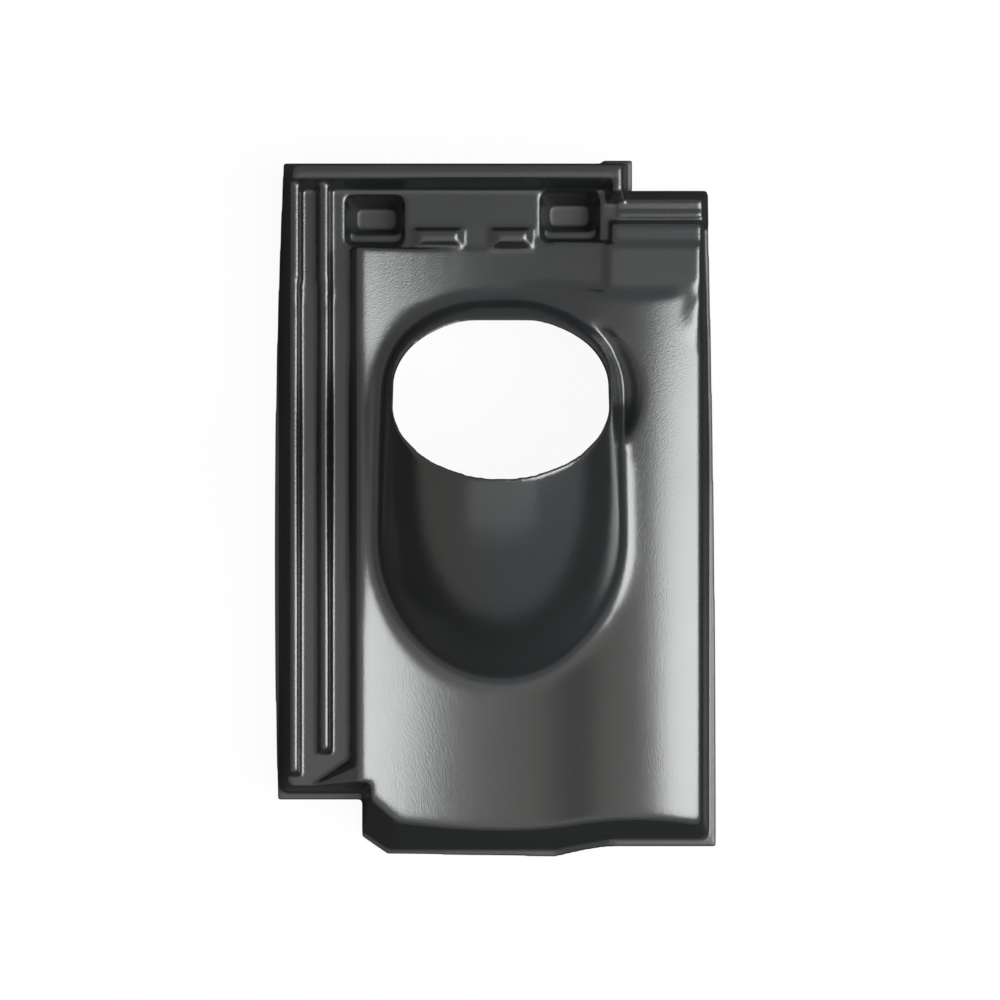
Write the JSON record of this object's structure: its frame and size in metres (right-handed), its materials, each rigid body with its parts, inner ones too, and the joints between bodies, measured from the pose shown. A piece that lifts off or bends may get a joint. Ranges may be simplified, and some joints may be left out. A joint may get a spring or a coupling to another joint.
{
  "type": "roof tile vent",
  "caption": "Formed plastic roof tile with a slanted hood whose open mouth passes a vent pipe, with water ribs, a roll and batten nibs.",
  "frame": {"origin": "centre of the tile's footprint, at the level of its trimmed foot", "axes": "+Y up the roof slope, +X to the roll's side, +Z out of the roof"},
  "size_m": [0.277, 0.438, 0.1353],
  "materials": {
    "tile_plastic": "satin black formed sheet with a fine grain"
  },
  "bodies": {
    "root": {"vent_tile": "tile_plastic"}
  },
  "joints": []
}
